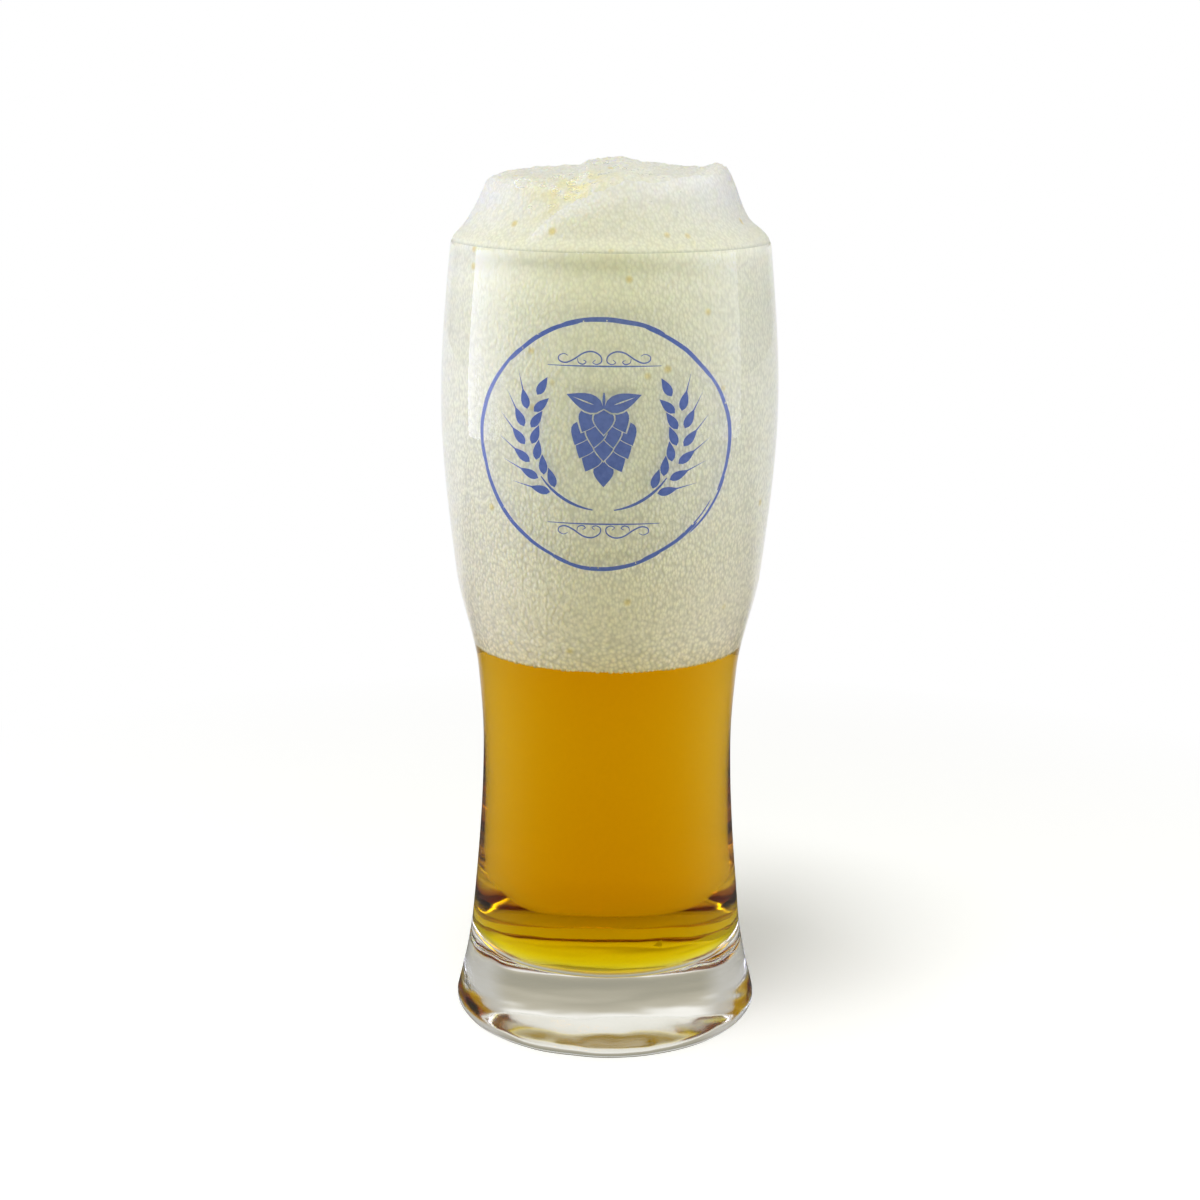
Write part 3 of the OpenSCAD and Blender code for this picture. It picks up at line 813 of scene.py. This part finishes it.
sheet = bmesh.new()
bmesh.ops.create_circle(sheet, cap_ends=True, segments=96, radius=2.0)
floor_data = bpy.data.meshes.new("floor")
sheet.to_mesh(floor_data)
sheet.free()
floor_data.materials.append(paper)
floor = bpy.data.objects.new("floor", floor_data)
bpy.context.scene.collection.objects.link(floor)
print("sheet", round(floor.dimensions.x, 1), "m wide")

# %% [markdown]
# The studio is white all round for the picture itself. What the glass bends and reflects is a
# softer room. It is pale in front and grey at the sides. Behind, it is pale below the horizon, dark
# just above it, bright from a third of the way up, and grey overhead. Those differences draw the
# edges of clear glass, which would be invisible in a perfectly even white room.

# %% Room that the glass shows
world = bpy.data.worlds.new("studio")
bpy.context.scene.world = world
world.use_nodes = True
tree = world.node_tree
tree.nodes.clear()
place, axes = position(tree, "Generated")
behind = add_node(
    tree, "MapRange", {"interpolation_type": "SMOOTHSTEP"}, From_Min=0.05, From_Max=0.55,
)
join(tree, axes, "Y", behind, "Value")
upwards = add_node(tree, "MapRange", From_Min=-0.1, From_Max=1.0)
join(tree, axes, "Z", upwards, "Value")
back_wall = ramp(tree, [
    (0.07, (0.85, 0.86, 0.84)), (0.12, (0.30, 0.29, 0.23)), (0.36, (0.38, 0.36, 0.28)),
    (0.51, (0.50, 0.47, 0.37)), (0.57, (0.95, 0.94, 0.88)), (0.75, (0.90, 0.89, 0.84)),
    (1.0, (0.45, 0.45, 0.45)),
])
join(tree, upwards, 0, back_wall, 0)
front_and_back = add_node(tree, "Mix", {"data_type": "RGBA"})
front_and_back.inputs[COLOUR_A].default_value = (0.78, 0.78, 0.75, 1)
join(tree, behind, 0, front_and_back, 0)
join(tree, back_wall, 0, front_and_back, COLOUR_B)
aside = add_node(tree, "Math", {"operation": "ABSOLUTE"})
join(tree, axes, "X", aside, 0)
beside = add_node(
    tree, "MapRange", {"interpolation_type": "SMOOTHSTEP"}, From_Min=0.42, From_Max=0.62,
)
join(tree, aside, 0, beside, "Value")
all_round = add_node(tree, "Mix", {"data_type": "RGBA"})
all_round.inputs[COLOUR_B].default_value = (0.52, 0.51, 0.46, 1)
join(tree, beside, 0, all_round, 0)
join(tree, front_and_back, COLOUR_OUT, all_round, COLOUR_A)
print("room is painted with", len(tree.nodes), "nodes")

# %% [markdown]
# As on the floor, a mirrored ray sees only a small share of the room, except behind the glass. The
# rays that gather light get a faint yellow fill instead, and the picture's own rays plain white.

# %% World
rays = add_node(tree, "LightPath")
grazing = add_node(
    tree, "MapRange", {"interpolation_type": "SMOOTHSTEP"},
    From_Min=0.35, From_Max=0.7, To_Min=MIRROR_SHARE, To_Max=1.0,
)
join(tree, axes, "Y", grazing, "Value")
dimmed = add_node(tree, "MapRange", To_Max=1.0)
join(tree, grazing, 0, dimmed, "To Min")
join(tree, rays, "Is Transmission Ray", dimmed, "Value")
room_light = add_node(tree, "Background")
join(tree, all_round, COLOUR_OUT, room_light, "Color")
join(tree, dimmed, 0, room_light, "Strength")
soft_fill = add_node(tree, "Background", Color=(1, 0.99, 0.50, 1), Strength=0.16)
bent = larger(tree, (rays, "Is Glossy Ray"), (rays, "Is Transmission Ray"))
unseen = blend(tree, (bent, 0), soft_fill, room_light)
white = add_node(tree, "Background", Color=(1, 1, 1, 1), Strength=1.0)
backdrop = blend(tree, (rays, "Is Camera Ray"), unseen, white)
output = add_node(tree, "OutputWorld")
join(tree, backdrop, 0, output, "Surface")
print("world has", len(tree.nodes), "nodes")

# %% [markdown]
# A high soft box, a little to the front left, lights the glass from above and throws the soft
# shadow on the right of its foot. A bluish one on each side, the left one stronger, and a weak
# yellow one in front light the foam, so that its middle stays a little darker and yellower.

# %% Lamps


def soft_box(name, at, wide, high, power, colour=(1, 1, 1), shadow=False):
    """A rectangular area lamp that points at the middle of the glass."""
    lamp = bpy.data.lights.new(name, "AREA")
    lamp.shape = "RECTANGLE"
    lamp.size = wide
    lamp.size_y = high
    lamp.energy = power
    lamp.color = colour
    lamp.use_shadow = shadow
    holder = bpy.data.objects.new(name, lamp)
    bpy.context.scene.collection.objects.link(holder)
    aim = Vector((0, 0, 0.12)) - Vector(at)
    holder.matrix_world = Matrix.Translation(at) @ aim.to_track_quat("-Z", "Y").to_matrix().to_4x4()
    print(name, power, "W")


soft_box("key_box", (-0.174, -0.289, 1.3), 0.4, 0.4, 9.0, shadow=True)
soft_box("left_box", (-0.75, 0.0, 0.11), 0.5, 0.42, 4.0, colour=(0.73, 0.74, 1))
soft_box("right_box", (0.74, -0.15, 0.17), 0.5, 0.42, 3.15, colour=(0.74, 0.75, 0.96))
soft_box("front_box", (0.0, -1.1, 0.25), 0.8, 0.4, 1.45, colour=(1, 0.97, 0.20))

# %% [markdown]
# Glass needs more bounces than the usual few, and so do bubbles of thin film that stand one behind
# another. The lamps already reach the foam through the glass, so the light that a lens would gather
# is left out. That keeps the picture clean.

# %% Light paths and colour
scene = bpy.context.scene
scene.view_settings.view_transform = "Standard"
scene.cycles.max_bounces = 32
scene.cycles.transmission_bounces = 32
scene.cycles.glossy_bounces = 24
scene.cycles.transparent_max_bounces = 32
scene.cycles.caustics_refractive = False
scene.cycles.caustics_reflective = False
print("light may bounce", scene.cycles.max_bounces, "times")
